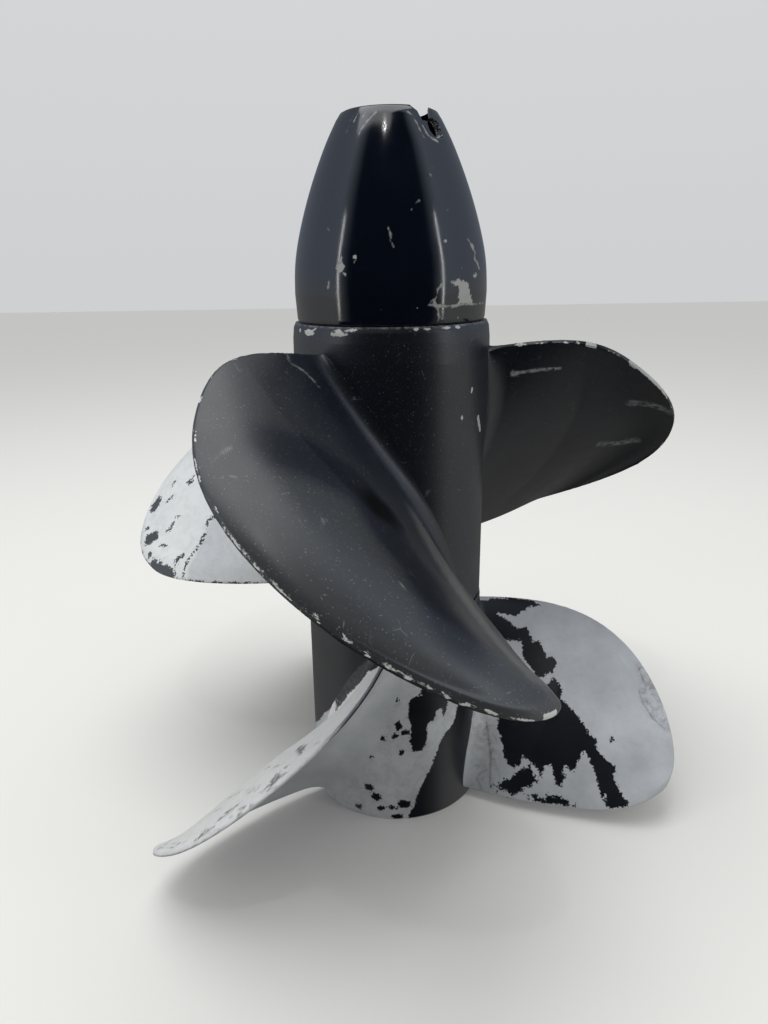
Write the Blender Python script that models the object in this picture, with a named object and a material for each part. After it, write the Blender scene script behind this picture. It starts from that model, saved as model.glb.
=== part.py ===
"""Pair of contra-turning three-bladed boat propellers, standing one on the other, with a hollow tail cone.

The lower propeller stands on the end of its hub, the upper one turns above it on the same axis, and
the cone sits on the upper hub. Metres, +Z up along the shaft, origin at the middle of the lower hub's foot.
"""
import math

import bmesh
import bpy
import numpy as np

for old in list(bpy.data.objects):
    bpy.data.objects.remove(old, do_unlink=True)

MM = 0.001
TOUCH = 0.0003

# Heights along the shaft
FOOT_Z = 0.0
JOINT_Z = 0.1373
JOINT_GAP = 0.0004
HUB_TOP_Z = 0.3067
CONE_TIP_Z = 0.4157

# Hub shells
SHELL_BORE_R = 0.0485
HUB_SIDES = 60
END_BEVEL = 0.0008
LOWER_OUTER = [(0.0, 55.0), (1.2, 55.6), (70.0, 55.5), (136.3, 55.4), (137.3, 54.8)]
UPPER_OUTER = [(137.7, 54.2), (139.0, 54.9), (180.0, 55.2), (222.0, 55.4), (262.0, 56.6), (287.0, 57.6),
               (298.0, 57.4), (304.0, 56.8), (306.7, 55.6)]

# Ribs, inner hubs, rubber bushes and splined sleeves
RIB_THICK = 0.007
RIB_RECESS = 0.012
LOWER_INNER_HUB = (0.0250, 0.0310)
UPPER_INNER_HUB = (0.0300, 0.0360)
LOWER_SLEEVE_R = 0.0170
UPPER_SLEEVE_R = 0.0225
LOWER_TEETH = 16
UPPER_TEETH = 20
TOOTH_HEIGHT = 0.0022
SLEEVE_WALL = 0.0028
TUBE_SIDES = 36

# Tail cone
CONE_OUTER = [(307.0, 53.6), (309.0, 54.3), (322.5, 55.1), (338.0, 54.3), (353.5, 51.4), (369.0, 47.0),
              (384.5, 41.5), (400.0, 34.9), (411.5, 28.9), (414.9, 26.6), (415.7, 25.0)]
CONE_WALL = 0.0042
CONE_SIDES = 60
TIP_BORE_R = 0.0212
DISC_LOW_Z = 0.314
DISC_HIGH_Z = 0.326
DISC_BORE_R = 0.0170
INSERT_BORE_R = 0.0125
INSERT_STEP = 0.001
BAR_HOLE_R = 0.0053
BAR_HOLE_Z = 0.4046
BAR_HOLE_DEG = 318.0
# The notch broken out of the front of the rim, as (x, z) in mm seen along +Y
NOTCH = [(8.0, 419.0), (11.5, 414.9), (14.6, 412.6), (16.1, 409.8), (17.3, 407.8), (19.8, 407.6), (20.7, 409.4),
         (20.7, 419.0)]

# Blades: the free edge of each, from its upper end on the hub, round the tip, to its lower end on the hub.
# Each station is a radius in mm, an angle in degrees round the shaft and a height in mm.
# The upper blades differ only in the two stations of their lower corner, which is worn and broken.
UPPER_EDGE_HIGH = [(56.0, 226.5, 291.3), (108.5, 226.0, 295.1), (142.7, 231.5, 279.1), (174.4, 243.1, 246.8),
                   (194.3, 264.0, 198.5)]
UPPER_CORNERS = [[(194.2, 284.3, 159.0), (181.7, 293.5, 151.7)],
                 [(197.9, 285.7, 159.0), (181.8, 291.2, 151.6)],
                 [(186.5, 283.7, 159.0), (167.4, 292.2, 144.6)]]
UPPER_EDGE_LOW = [(137.5, 298.7, 141.9), (56.0, 311.2, 146.8)]
LOWER_EDGE = [(56.0, 25.6, 118.9), (125.5, 14.6, 105.9), (164.1, 3.0, 80.4), (180.0, -9.5, 49.2),
              (177.0, -20.2, 28.0), (150.0, -25.0, 12.5), (118.0, -28.0, 9.0), (84.0, -31.5, 6.6),
              (56.0, -34.0, 5.6)]
BLADES = 3
EDGE_THICK = 0.0028
ROOT_THICK = 0.0115
TIP_THICK = 0.0036
FILLET_SPREAD = 0.0085
FILLET_REACH = 0.0075
CAMBER = 0.035
ACROSS = 12
OUTWARD = 13
SEAT_STEPS = 5


def paint(name, rgb, roughness, metallic):
    """A plain surface with one colour."""
    mat = bpy.data.materials.new(name)
    mat.use_nodes = True
    shader = mat.node_tree.nodes["Principled BSDF"]
    shader.inputs["Base Color"].default_value = (*rgb, 1.0)
    shader.inputs["Roughness"].default_value = roughness
    shader.inputs["Metallic"].default_value = metallic
    return mat


BLACK_PAINT = paint("black_paint", (0.018, 0.020, 0.024), 0.45, 0.0)
WORN_PAINT = paint("worn_paint", (0.32, 0.34, 0.36), 0.5, 0.0)
GLOSS_BLACK = paint("gloss_black", (0.012, 0.014, 0.018), 0.2, 0.0)
RUBBER = paint("rubber", (0.03, 0.03, 0.03), 0.8, 0.0)
STEEL = paint("steel", (0.45, 0.45, 0.46), 0.35, 1.0)
BRASS = paint("brass", (0.55, 0.40, 0.18), 0.35, 1.0)


def add_object(name, mesh, mat, parent=None):
    """Links a mesh as a named object, shades it and hangs it on its axis."""
    obj = bpy.data.objects.new(name, mesh)
    bpy.context.scene.collection.objects.link(obj)
    mesh.materials.append(mat)
    mesh.shade_smooth()
    mesh.set_sharp_from_angle(angle=math.radians(35.0))
    if parent is not None:
        obj.parent = parent
        obj.matrix_parent_inverse = parent.matrix_world.inverted()
    return obj


def finish(bm, name):
    """Closes a bmesh into a mesh with its faces pointing out."""
    bmesh.ops.recalc_face_normals(bm, faces=bm.faces)
    mesh = bpy.data.meshes.new(name)
    bm.to_mesh(mesh)
    bm.free()
    return mesh


def turned(name, profile, sides):
    """A ring turned about the shaft: profile is a closed loop of (radius, height) in metres."""
    bm = bmesh.new()
    rings = []
    for k in range(sides):
        a = 2.0 * math.pi * k / sides
        rings.append([bm.verts.new((r * math.cos(a), r * math.sin(a), z)) for r, z in profile])
    count = len(profile)
    for k in range(sides):
        here, there = rings[k], rings[(k + 1) % sides]
        for j in range(count):
            bm.faces.new((here[j], here[(j + 1) % count], there[(j + 1) % count], there[j]))
    return finish(bm, name)


def shell_profile(outer, bore_r):
    """The hub wall: outer stations in mm going up, then back down the straight bore."""
    side = [(r * MM, z * MM) for z, r in outer]
    low, high = side[0][1], side[-1][1]
    return side + [(bore_r + END_BEVEL, high), (bore_r, high - END_BEVEL), (bore_r, low + END_BEVEL),
                   (bore_r + END_BEVEL, low)]


def tube_profile(r_in, r_out, low, high, bevel):
    """A plain tube with its outer corners eased."""
    return [(r_in, low), (r_out - bevel, low), (r_out, low + bevel), (r_out, high - bevel),
            (r_out - bevel, high), (r_in, high)]


def splined_tube(name, r_out, r_root, tooth, teeth, low, high):
    """A sleeve with straight internal teeth: the bore steps in by one tooth height at each tooth."""
    bm = bmesh.new()
    outer_low, outer_high, inner_low, inner_high = [], [], [], []
    steps = 4 * teeth
    for k in range(steps):
        a = 2.0 * math.pi * k / steps
        r = r_root - tooth if k % 4 in (1, 2) else r_root
        c, s = math.cos(a), math.sin(a)
        outer_low.append(bm.verts.new((r_out * c, r_out * s, low)))
        outer_high.append(bm.verts.new((r_out * c, r_out * s, high)))
        inner_low.append(bm.verts.new((r * c, r * s, low)))
        inner_high.append(bm.verts.new((r * c, r * s, high)))
    for k in range(steps):
        n = (k + 1) % steps
        bm.faces.new((outer_low[k], outer_low[n], outer_high[n], outer_high[k]))
        bm.faces.new((inner_low[k], inner_high[k], inner_high[n], inner_low[n]))
        bm.faces.new((outer_low[k], inner_low[k], inner_low[n], outer_low[n]))
        bm.faces.new((outer_high[k], outer_high[n], inner_high[n], inner_high[k]))
    return finish(bm, name)


def rib(name, r_in, r_out, thick, low, high, degrees):
    """A flat radial rib between the inner hub and the shell."""
    half = thick / 2.0
    near = r_in + TOUCH
    far = math.sqrt((r_out - TOUCH) ** 2 - half ** 2)
    bm = bmesh.new()
    made = bmesh.ops.create_cube(bm, size=1.0)
    for v in made["verts"]:
        x = near if v.co.x < 0 else far
        y = -half if v.co.y < 0 else half
        z = low if v.co.z < 0 else high
        v.co = (x, y, z)
    mesh = finish(bm, name)
    turn = math.radians(degrees)
    c, s = math.cos(turn), math.sin(turn)
    for v in mesh.vertices:
        x, y, z = v.co
        v.co = (c * x - s * y, s * x + c * y, z)
    return mesh


def hub_radius(outer, z):
    """The hub's outer radius at a height, both in metres."""
    heights = [p[0] * MM for p in outer]
    radii = [p[1] * MM for p in outer]
    return float(np.interp(z, heights, radii))


def smooth_curve(stations, samples):
    """A natural cubic spline through evenly numbered stations, read at the given parameters from 0 to 1."""
    pts = np.array(stations, float)
    n = len(pts)
    matrix = np.eye(n)
    right = np.zeros_like(pts)
    for i in range(1, n - 1):
        matrix[i, i - 1:i + 2] = (1.0, 4.0, 1.0)
        right[i] = 6.0 * (pts[i + 1] - 2.0 * pts[i] + pts[i - 1])
    bend = np.linalg.solve(matrix, right)
    t = np.clip(np.asarray(samples, float), 0.0, 1.0) * (n - 1)
    i = np.minimum(t.astype(int), n - 2)
    u = (t - i)[:, None]
    a, b = pts[i], pts[i + 1]
    ma, mb = bend[i], bend[i + 1]
    return (a * (1 - u) + b * u) + ((1 - u) ** 3 - (1 - u)) * ma / 6.0 + (u ** 3 - u) * mb / 6.0


def blade_mid(edge, outer, across, outward):
    """The blade's middle surface: straight in radius, angle and height from one edge to the other,
    bowed upwards by a small share of the local width."""
    s = 1.0 - (1.0 - np.linspace(0.0, 1.0, outward + 1)) ** 1.35
    upper = smooth_curve(edge, 0.5 * s)
    lower = smooth_curve(edge, 1.0 - 0.5 * s)
    u = 0.5 - 0.5 * np.cos(np.pi * np.linspace(0.0, 1.0, across + 1))
    u = 0.5 * u + 0.5 * np.linspace(0.0, 1.0, across + 1)
    grid = upper[:, None, :] * (1.0 - u)[None, :, None] + lower[:, None, :] * u[None, :, None]
    r, a, z = grid[..., 0] * MM, np.radians(grid[..., 1]), grid[..., 2] * MM
    for j in range(across + 1):
        r[0, j] = hub_radius(outer, z[0, j]) + TOUCH
    points = np.stack([r * np.cos(a), r * np.sin(a), z], axis=-1)
    width = np.linalg.norm(points[:, -1] - points[:, 0], axis=-1)
    return points, s, u, width


def blade_mesh(name, edge, outer, turn):
    """One blade: the middle surface thickened both ways along its own normal."""
    points, s, u, width = blade_mid(edge, outer, ACROSS, OUTWARD)
    points = points[:-1]
    s, width = s[:-1], width[:-1]
    along = np.gradient(points, axis=0)
    over = np.gradient(points, axis=1)
    normal = np.cross(along, over)
    normal /= np.linalg.norm(normal, axis=-1, keepdims=True)
    if normal[..., 2].mean() < 0:
        normal = -normal
    bow = 4.0 * u * (1.0 - u)
    points = points + normal * (CAMBER * width[:, None] * bow[None, :] * np.minimum(1.0, 4.0 * s)[:, None])[..., None]
    reach = np.linalg.norm(points[..., :2], axis=-1)
    out = reach - reach[:1]
    body = ROOT_THICK + (TIP_THICK - ROOT_THICK) * s ** 0.8
    fillet = 2.0 * FILLET_SPREAD * np.exp(-np.maximum(out, 0.0) / FILLET_REACH)
    thick = EDGE_THICK + ((body[:, None] - EDGE_THICK) + fillet) * (bow ** 0.7)[None, :]
    top = points + normal * (0.5 * thick)[..., None]
    bottom = points - normal * (0.5 * thick)[..., None]
    for sheet in (top, bottom):
        for i in range(len(s)):
            for j in range(ACROSS + 1):
                x, y, z = sheet[i, j]
                seat = hub_radius(outer, z) + TOUCH
                here = math.hypot(x, y)
                if i == 0 or here < seat + TOUCH:
                    sheet[i, j, :2] *= (seat if i == 0 else seat + TOUCH) / here
    seat_rows = []
    for j in range(ACROSS + 1):
        share = np.linspace(0.0, 1.0, SEAT_STEPS + 1)[1:-1, None]
        row = top[0, j] * (1.0 - share) + bottom[0, j] * share
        for point in row:
            point[:2] *= (hub_radius(outer, point[2]) + TOUCH) / math.hypot(point[0], point[1])
        seat_rows.append(row)
    c, w = math.cos(turn), math.sin(turn)
    spin = np.array([[c, w, 0.0], [-w, c, 0.0], [0.0, 0.0, 1.0]])
    top, bottom = top @ spin, bottom @ spin
    seat_rows = [row @ spin for row in seat_rows]
    bm = bmesh.new()
    rows, cols = top.shape[:2]
    tv = [[bm.verts.new(top[i, j]) for j in range(cols)] for i in range(rows)]
    bv = [[bm.verts.new(bottom[i, j]) for j in range(cols)] for i in range(rows)]
    for i in range(rows - 1):
        for j in range(cols - 1):
            bm.faces.new((tv[i][j], tv[i + 1][j], tv[i + 1][j + 1], tv[i][j + 1]))
            bm.faces.new((bv[i][j], bv[i][j + 1], bv[i + 1][j + 1], bv[i + 1][j]))
    seat = [[tv[0][j]] + [bm.verts.new(q) for q in seat_rows[j]] + [bv[0][j]] for j in range(cols)]
    bm.faces.new(seat[0] + [bv[1][0], tv[1][0]])
    bm.faces.new(seat[-1][::-1] + [tv[1][-1], bv[1][-1]])
    for i in range(1, rows - 1):
        bm.faces.new((tv[i][0], bv[i][0], bv[i + 1][0], tv[i + 1][0]))
        bm.faces.new((tv[i][-1], tv[i + 1][-1], bv[i + 1][-1], bv[i][-1]))
    for j in range(cols - 1):
        for k in range(SEAT_STEPS):
            bm.faces.new((seat[j][k], seat[j + 1][k], seat[j + 1][k + 1], seat[j][k + 1]))
        bm.faces.new((tv[-1][j], bv[-1][j], bv[-1][j + 1], tv[-1][j + 1]))
    return finish(bm, name)


# Lower propeller: shell, inner hub, ribs, rubber bush and splined sleeve
add_object("lower_hub_shell", turned("lower_hub_shell", shell_profile(LOWER_OUTER, SHELL_BORE_R), HUB_SIDES),
           WORN_PAINT)
LOW_IN, LOW_OUT = LOWER_INNER_HUB
LOW_FROM, LOW_TO = FOOT_Z + RIB_RECESS, JOINT_Z - RIB_RECESS
add_object("lower_inner_hub", turned("lower_inner_hub", tube_profile(LOW_IN, LOW_OUT, LOW_FROM - 0.004,
           LOW_TO + 0.004, 0.001), TUBE_SIDES), BLACK_PAINT)
for n in range(3):
    add_object(f"lower_rib_{n + 1}", rib(f"lower_rib_{n + 1}", LOW_OUT, SHELL_BORE_R, RIB_THICK, LOW_FROM, LOW_TO,
               30.0 + 120.0 * n), BLACK_PAINT)
add_object("lower_rubber_bush", turned("lower_rubber_bush", tube_profile(LOWER_SLEEVE_R + TOUCH, LOW_IN - TOUCH,
           LOW_FROM + 0.004, LOW_TO - 0.004, 0.0008), TUBE_SIDES), RUBBER)
add_object("lower_splined_sleeve", splined_tube("lower_splined_sleeve", LOWER_SLEEVE_R,
           LOWER_SLEEVE_R - SLEEVE_WALL, TOOTH_HEIGHT, LOWER_TEETH, LOW_FROM, LOW_TO), STEEL)

# Lower propeller: blades
for n in range(BLADES):
    add_object(f"lower_blade_{n + 1}", blade_mesh(f"lower_blade_{n + 1}", LOWER_EDGE, LOWER_OUTER,
               math.radians(120.0 * n)), WORN_PAINT)

# Upper propeller: everything hangs on an empty on the shaft axis
upper_axis = bpy.data.objects.new("upper_axis", None)
upper_axis.location = (0.0, 0.0, JOINT_Z)
bpy.context.scene.collection.objects.link(upper_axis)
bpy.context.view_layer.update()

add_object("upper_hub_shell", turned("upper_hub_shell", shell_profile(UPPER_OUTER, SHELL_BORE_R), HUB_SIDES),
           BLACK_PAINT, upper_axis)
UP_IN, UP_OUT = UPPER_INNER_HUB
UP_FROM, UP_TO = JOINT_Z + JOINT_GAP + RIB_RECESS, HUB_TOP_Z - RIB_RECESS
add_object("upper_inner_hub", turned("upper_inner_hub", tube_profile(UP_IN, UP_OUT, UP_FROM - 0.004,
           UP_TO + 0.004, 0.001), TUBE_SIDES), BLACK_PAINT, upper_axis)
for n in range(3):
    add_object(f"upper_rib_{n + 1}", rib(f"upper_rib_{n + 1}", UP_OUT, SHELL_BORE_R, RIB_THICK, UP_FROM, UP_TO,
               30.0 + 120.0 * n), BLACK_PAINT, upper_axis)
add_object("upper_rubber_bush", turned("upper_rubber_bush", tube_profile(UPPER_SLEEVE_R + TOUCH, UP_IN - TOUCH,
           UP_FROM + 0.004, UP_TO - 0.004, 0.0008), TUBE_SIDES), RUBBER, upper_axis)
add_object("upper_splined_sleeve", splined_tube("upper_splined_sleeve", UPPER_SLEEVE_R,
           UPPER_SLEEVE_R - SLEEVE_WALL, TOOTH_HEIGHT, UPPER_TEETH, UP_FROM, UP_TO), STEEL, upper_axis)

# Upper propeller: blades
for n in range(BLADES):
    edge = UPPER_EDGE_HIGH + UPPER_CORNERS[n] + UPPER_EDGE_LOW
    add_object(f"upper_blade_{n + 1}", blade_mesh(f"upper_blade_{n + 1}", edge, UPPER_OUTER,
               math.radians(120.0 * n)), BLACK_PAINT, upper_axis)

# Tail cone: a turned shell with a thick disc near its base, which holds a threaded insert
side = [(r * MM, z * MM) for z, r in CONE_OUTER]
inside = [(r - CONE_WALL, z) for r, z in side]
base_in = inside[0][0]
cone_profile = side + [(TIP_BORE_R, CONE_TIP_Z)] + inside[7:2:-2] + [
    (base_in, DISC_HIGH_Z), (DISC_BORE_R, DISC_HIGH_Z), (DISC_BORE_R, DISC_LOW_Z), (base_in, DISC_LOW_Z),
    (base_in, side[0][1])]
cone = add_object("tail_cone", turned("tail_cone", cone_profile, CONE_SIDES), GLOSS_BLACK, upper_axis)
add_object("cone_thread_insert", turned("cone_thread_insert", tube_profile(INSERT_BORE_R, DISC_BORE_R - TOUCH,
           DISC_LOW_Z - INSERT_STEP, DISC_HIGH_Z + INSERT_STEP, 0.0006), TUBE_SIDES), BRASS, upper_axis)


def cutter(name, mesh):
    """A hidden tool that cuts the cone."""
    tool = bpy.data.objects.new(name, mesh)
    bpy.context.scene.collection.objects.link(tool)
    tool.hide_render = True
    tool.display_type = "WIRE"
    step = cone.modifiers.new(name, "BOOLEAN")
    step.operation = "DIFFERENCE"
    step.solver = "EXACT"
    step.object = tool
    return tool


# Bar hole straight through both walls of the tip
bm = bmesh.new()
bmesh.ops.create_cone(bm, cap_ends=True, segments=24, radius1=BAR_HOLE_R, radius2=BAR_HOLE_R, depth=0.1)
hole_tool = cutter("bar_hole_tool", finish(bm, "bar_hole_tool"))
hole_tool.rotation_euler = (0.0, math.radians(90.0), math.radians(BAR_HOLE_DEG))
hole_tool.location = (0.0, 0.0, BAR_HOLE_Z)

# Broken-out notch, cut through the front wall only
bm = bmesh.new()
front = [bm.verts.new((x * MM, -TIP_BORE_R * 2.0, z * MM)) for x, z in NOTCH]
back = [bm.verts.new((x * MM, 0.0, z * MM)) for x, z in NOTCH]
bm.faces.new(front)
bm.faces.new(back[::-1])
for k in range(len(NOTCH)):
    n = (k + 1) % len(NOTCH)
    bm.faces.new((front[k], back[k], back[n], front[n]))
cutter("notch_tool", finish(bm, "notch_tool"))
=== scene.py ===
"""A worn pair of contra-turning boat propellers, one standing on the other, with a hollow tail cone on top.

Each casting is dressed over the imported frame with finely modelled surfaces, peeling black paint and bare metal.
"""
import math
from functools import partial

import bpy
import numpy as np
from mathutils import Matrix


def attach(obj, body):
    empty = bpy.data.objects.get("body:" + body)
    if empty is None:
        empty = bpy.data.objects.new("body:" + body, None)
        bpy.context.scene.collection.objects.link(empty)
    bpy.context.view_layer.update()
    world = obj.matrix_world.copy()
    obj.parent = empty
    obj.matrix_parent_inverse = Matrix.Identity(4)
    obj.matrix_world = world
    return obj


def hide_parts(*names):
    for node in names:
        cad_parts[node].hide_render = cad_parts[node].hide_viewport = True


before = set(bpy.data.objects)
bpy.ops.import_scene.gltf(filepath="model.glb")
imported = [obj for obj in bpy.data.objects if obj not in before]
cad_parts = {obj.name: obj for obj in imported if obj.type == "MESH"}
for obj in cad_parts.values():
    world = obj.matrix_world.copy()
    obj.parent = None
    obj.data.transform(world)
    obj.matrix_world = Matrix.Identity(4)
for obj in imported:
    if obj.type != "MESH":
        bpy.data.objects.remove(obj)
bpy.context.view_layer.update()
link = bpy.context.scene.collection.objects.link


# Camera
# A phone held about half a metre from the shaft and a little above the blades, tipped down, seen as a pinhole.
# The frame is 768 by 1024, so the lens is given for the frame's height.
CAMERA_PLACE = (0.0, -0.4628, 0.3383)
CAMERA_DOWN = math.radians(17.92)
CAMERA_TURN = math.radians(-0.74)
CAMERA_ROLL = math.radians(-0.92)
SENSOR_HEIGHT = 24.0
LENS = 18.02

ahead = np.array([math.sin(CAMERA_TURN) * math.cos(CAMERA_DOWN), math.cos(CAMERA_TURN) * math.cos(CAMERA_DOWN),
                  -math.sin(CAMERA_DOWN)])
level = np.array([math.cos(CAMERA_TURN), -math.sin(CAMERA_TURN), 0.0])
above = np.cross(level, ahead)
right = math.cos(CAMERA_ROLL) * level + math.sin(CAMERA_ROLL) * above
over = math.cos(CAMERA_ROLL) * above - math.sin(CAMERA_ROLL) * level
camera = bpy.data.objects.new("camera", bpy.data.cameras.new("camera"))
link(camera)
camera.matrix_world = Matrix([[*pair, place] for *pair, place in zip(right, over, -ahead, CAMERA_PLACE)]
                             + [[0.0, 0.0, 0.0, 1.0]])
camera.data.sensor_fit = "VERTICAL"
camera.data.sensor_height = SENSOR_HEIGHT
camera.data.lens = LENS
bpy.context.scene.camera = camera


# Lower hub
# The straight outer wall of the lower casting, sand-cast aluminium turned true outside and once sprayed black.
# The paint has come off most of the front in sheets, so bare grey metal and black islands meet in torn edges.
MM = 0.001
LOWER_OUTER = [(0.0, 55.0), (1.2, 55.6), (70.0, 55.5), (136.3, 55.4), (137.3, 54.8)]
SHELL_BORE = 48.5
BORE_CHAMFER = 0.8
HUB_AROUND = 360
HUB_RING_STEP = 1.25
FRONT_DEG = 270.0
HUB_R = 55.5
CREASE_DEG = 40.0
FIELD_REACH = 8.0
NO_TRIANGLES = np.empty((0, 3), int)


def wrap_faces(rows, cols, close_rows, close_cols):
    """Quads over a grid of points numbered row by row; a closed side joins its last line of points to its first."""
    i = np.arange(rows if close_rows else rows - 1)[:, None]
    j = np.arange(cols if close_cols else cols - 1)[None, :]
    down, across = (i + 1) % rows, (j + 1) % cols
    return np.stack([i * cols + j, down * cols + j, down * cols + across, i * cols + across], -1).reshape(-1, 4)


def add_piece(name, points, quads, fields, mat, body, nodes, triangles=NO_TRIANGLES):
    """Makes a closed mesh from points and faces, facing out: its signed volume, a third of the sum over triangles
    of each one's corners' triple product, has to be positive. Each field is one number a point."""
    corners = points[np.concatenate([quads[:, :3], quads[:, [0, 2, 3]], triangles])]
    volume = np.einsum("ij,ij->", corners[:, 0], np.cross(corners[:, 1], corners[:, 2]))
    faces = quads.tolist() + triangles.tolist()
    if volume < 0:
        faces = [face[::-1] for face in faces]
    mesh = bpy.data.meshes.new(name)
    mesh.from_pydata(points.tolist(), [], faces)
    mesh.shade_smooth()
    mesh.set_sharp_from_angle(angle=math.radians(CREASE_DEG))
    for key, values in fields.items():
        layer = mesh.attributes.new(key, "FLOAT", "POINT")
        layer.data.foreach_set("value", np.ascontiguousarray(values, dtype=np.float32).ravel())
    mesh.materials.append(mat)
    piece = bpy.data.objects.new(name, mesh)
    link(piece)
    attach(piece, body)
    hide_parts(*nodes)
    return piece


def turned(profile, around):
    """Points of a turned form: the profile's radius is carried round the shaft, its height stays."""
    turn = np.linspace(0.0, 2.0 * np.pi, around, endpoint=False)[:, None]
    r, z = profile[None, :, 0], profile[None, :, 1]
    return np.stack([r * np.cos(turn), r * np.sin(turn), np.broadcast_to(z, (around, len(profile)))], -1)


def shell_profile(outer, bore, step):
    """The outer stations joined by straight lines and read every step, then back down the bore."""
    z, r = np.array(outer).T
    fine = np.union1d(np.linspace(z[0], z[-1], int((z[-1] - z[0]) / step)), z)
    up = np.stack([np.interp(fine, z, r), fine], -1)
    down = np.array([(bore + BORE_CHAMFER, z[-1]), (bore, z[-1] - BORE_CHAMFER), (bore, z[0] + BORE_CHAMFER),
                     (bore + BORE_CHAMFER, z[0])])
    return np.concatenate([up, down]) * MM


def line_gap(at, starts, ends):
    """The least distance from each point to any of the straight lines from a start to its end."""
    least = np.full(len(at), 1e9)
    for start, end in zip(starts, ends):
        run = end - start
        share = np.clip(((at - start) @ run) / (run @ run), 0.0, 1.0)
        least = np.minimum(least, np.linalg.norm(at - start - share[:, None] * run, axis=1))
    return least


def patch(at, *corners):
    """How far inside a closed outline each point lies, in mm, negative outside: the least distance to its sides,
    signed by whether a line to the right crosses the outline an odd number of times."""
    starts = np.array(corners, float)
    ends = np.roll(starts, -1, axis=0)
    inside = np.zeros(len(at), bool)
    for start, end in zip(starts, ends):
        run = end - start
        spans = (start[1] > at[:, 1]) != (end[1] > at[:, 1])
        inside ^= spans & (at[:, 0] < start[0] + run[0] * (at[:, 1] - start[1]) / (run[1] if run[1] else 1e-9))
    return np.where(inside, 1.0, -1.0) * line_gap(at, starts, ends)


def stroke(at, width, stops):
    """Half the stroke's width less the distance to its line, which runs straight from stop to stop."""
    stops = np.array(stops, float)
    return 0.5 * width - line_gap(at, stops[:-1], stops[1:])


def spot(at, x, y, wide, high):
    """About how far inside an ellipse each point lies: 1 less its distance, scaled by the half width and half
    height, times the smaller half."""
    reach = np.hypot((at[:, 0] - x) / (0.5 * wide), (at[:, 1] - y) / (0.5 * high))
    return (1.0 - reach) * 0.5 * min(wide, high)


def most(drawn, at, shapes):
    """The greatest, at each point, of patches, strokes or spots."""
    return np.maximum.reduce([drawn(at, *shape) for shape in shapes])


def soft_share(inside, width):
    """1 inside a shape and 0 outside it, with a straight ramp this many mm wide over its outline."""
    return np.clip(inside / width + 0.5, 0.0, 1.0)


def islands(at, low, high, count, size, seed):
    """Scattered blots of random place and size within a box, each a short row of ellipses."""
    rng = np.random.default_rng(seed)
    inside = np.full(len(at), -20.0)
    for _ in range(count):
        x, y = rng.uniform(low, high)
        tilt = rng.uniform(0.0, np.pi)
        for _ in range(3):
            wide, tall = size * rng.uniform(0.4, 1.3, 2)
            inside = np.maximum(inside, spot(at, x, y, wide, tall))
            x, y = x + 0.5 * size * math.cos(tilt), y + 0.5 * size * math.sin(tilt)
    return inside


def linear(code):
    """An sRGB hex colour as linear numbers: dark values are divided by 12.92, the rest follow a 2.4 power."""
    parts = np.array([int(code[k:k + 2], 16) / 255.0 for k in (1, 3, 5)])
    return (*np.where(parts <= 0.04045, parts / 12.92, ((parts + 0.055) / 1.055) ** 2.4), 1.0)


def feed(sockets, values):
    """Gives sockets, by order or by name, numbers, colours or the outputs of other nodes."""
    for key, value in (values.items() if isinstance(values, dict) else enumerate(values)):
        if isinstance(value, bpy.types.NodeSocket):
            sockets[key].id_data.links.new(value, sockets[key])
        else:
            sockets[key].default_value = value


def add_node(tree, kind, inputs=(), out=0, **settings):
    """Adds a node with its settings, feeds its inputs, and returns the output asked for."""
    made = tree.nodes.new("ShaderNode" + kind)
    for key, value in settings.items():
        setattr(made, key, value)
    feed(made.inputs, inputs)
    return made.outputs[out]


def waves(place, length, detail=2.0, roughness=0.5, distortion=0.0):
    """Inputs for noise whose longest waves have this length in mm."""
    return {"Vector": place, "Scale": 1000.0 / length, "Detail": detail, "Roughness": roughness,
            "Distortion": distortion}


def new_material(name):
    """A material, the call that adds nodes to it, its shader's sockets, and the point's own place in metres."""
    mat = bpy.data.materials.new(name)
    mat.use_nodes = True
    add = partial(add_node, mat.node_tree)
    return mat, add, mat.node_tree.nodes["Principled BSDF"].inputs, add("TexCoord", out="Object")


# Settings that nodes share: the first input times the second plus the third, the same cut to between 0 and 1, a
# product cut so too, and one colour laid over another.
SCALED = {"operation": "MULTIPLY_ADD"}
CLIPPED = {"operation": "MULTIPLY_ADD", "use_clamp": True}
PRODUCT = {"operation": "MULTIPLY", "use_clamp": True}
COLOURS = {"data_type": "RGBA", "out": 2}
# Noise in the casting's material: wave length in mm, detail, roughness and distortion, then gain and shift. The
# tears are noise too, with the reach of each as a share of tear_mm.
CASTING_NOISE = {"cloud": (45.0, 4.0, 0.5, 0.0, 2.2, -0.6), "dust": (1.0, 1.0, 0.5, 0.0, 10.0, -6.7),
                 "hair_parts": (7.0, 1.0, 0.5, 0.0, 9.0, -5.7), "scored": (3.0, 4.0, 0.5, 0.0, 4.0, -1.5),
                 "mottle": (40.0, 6.0, 0.5, 0.0, 2.0, -0.6), "pits": (2.5, 3.0, 0.7, 0.0, 12.0, -8.6),
                 "bruise": (9.0, 6.0, 0.75, 1.2, 5.0, -2.2)}
CASTING_TEARS = ((7.0, 6.0, 0.75, 2.6), (1.4, 2.0, 0.5, 2.0))


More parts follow.
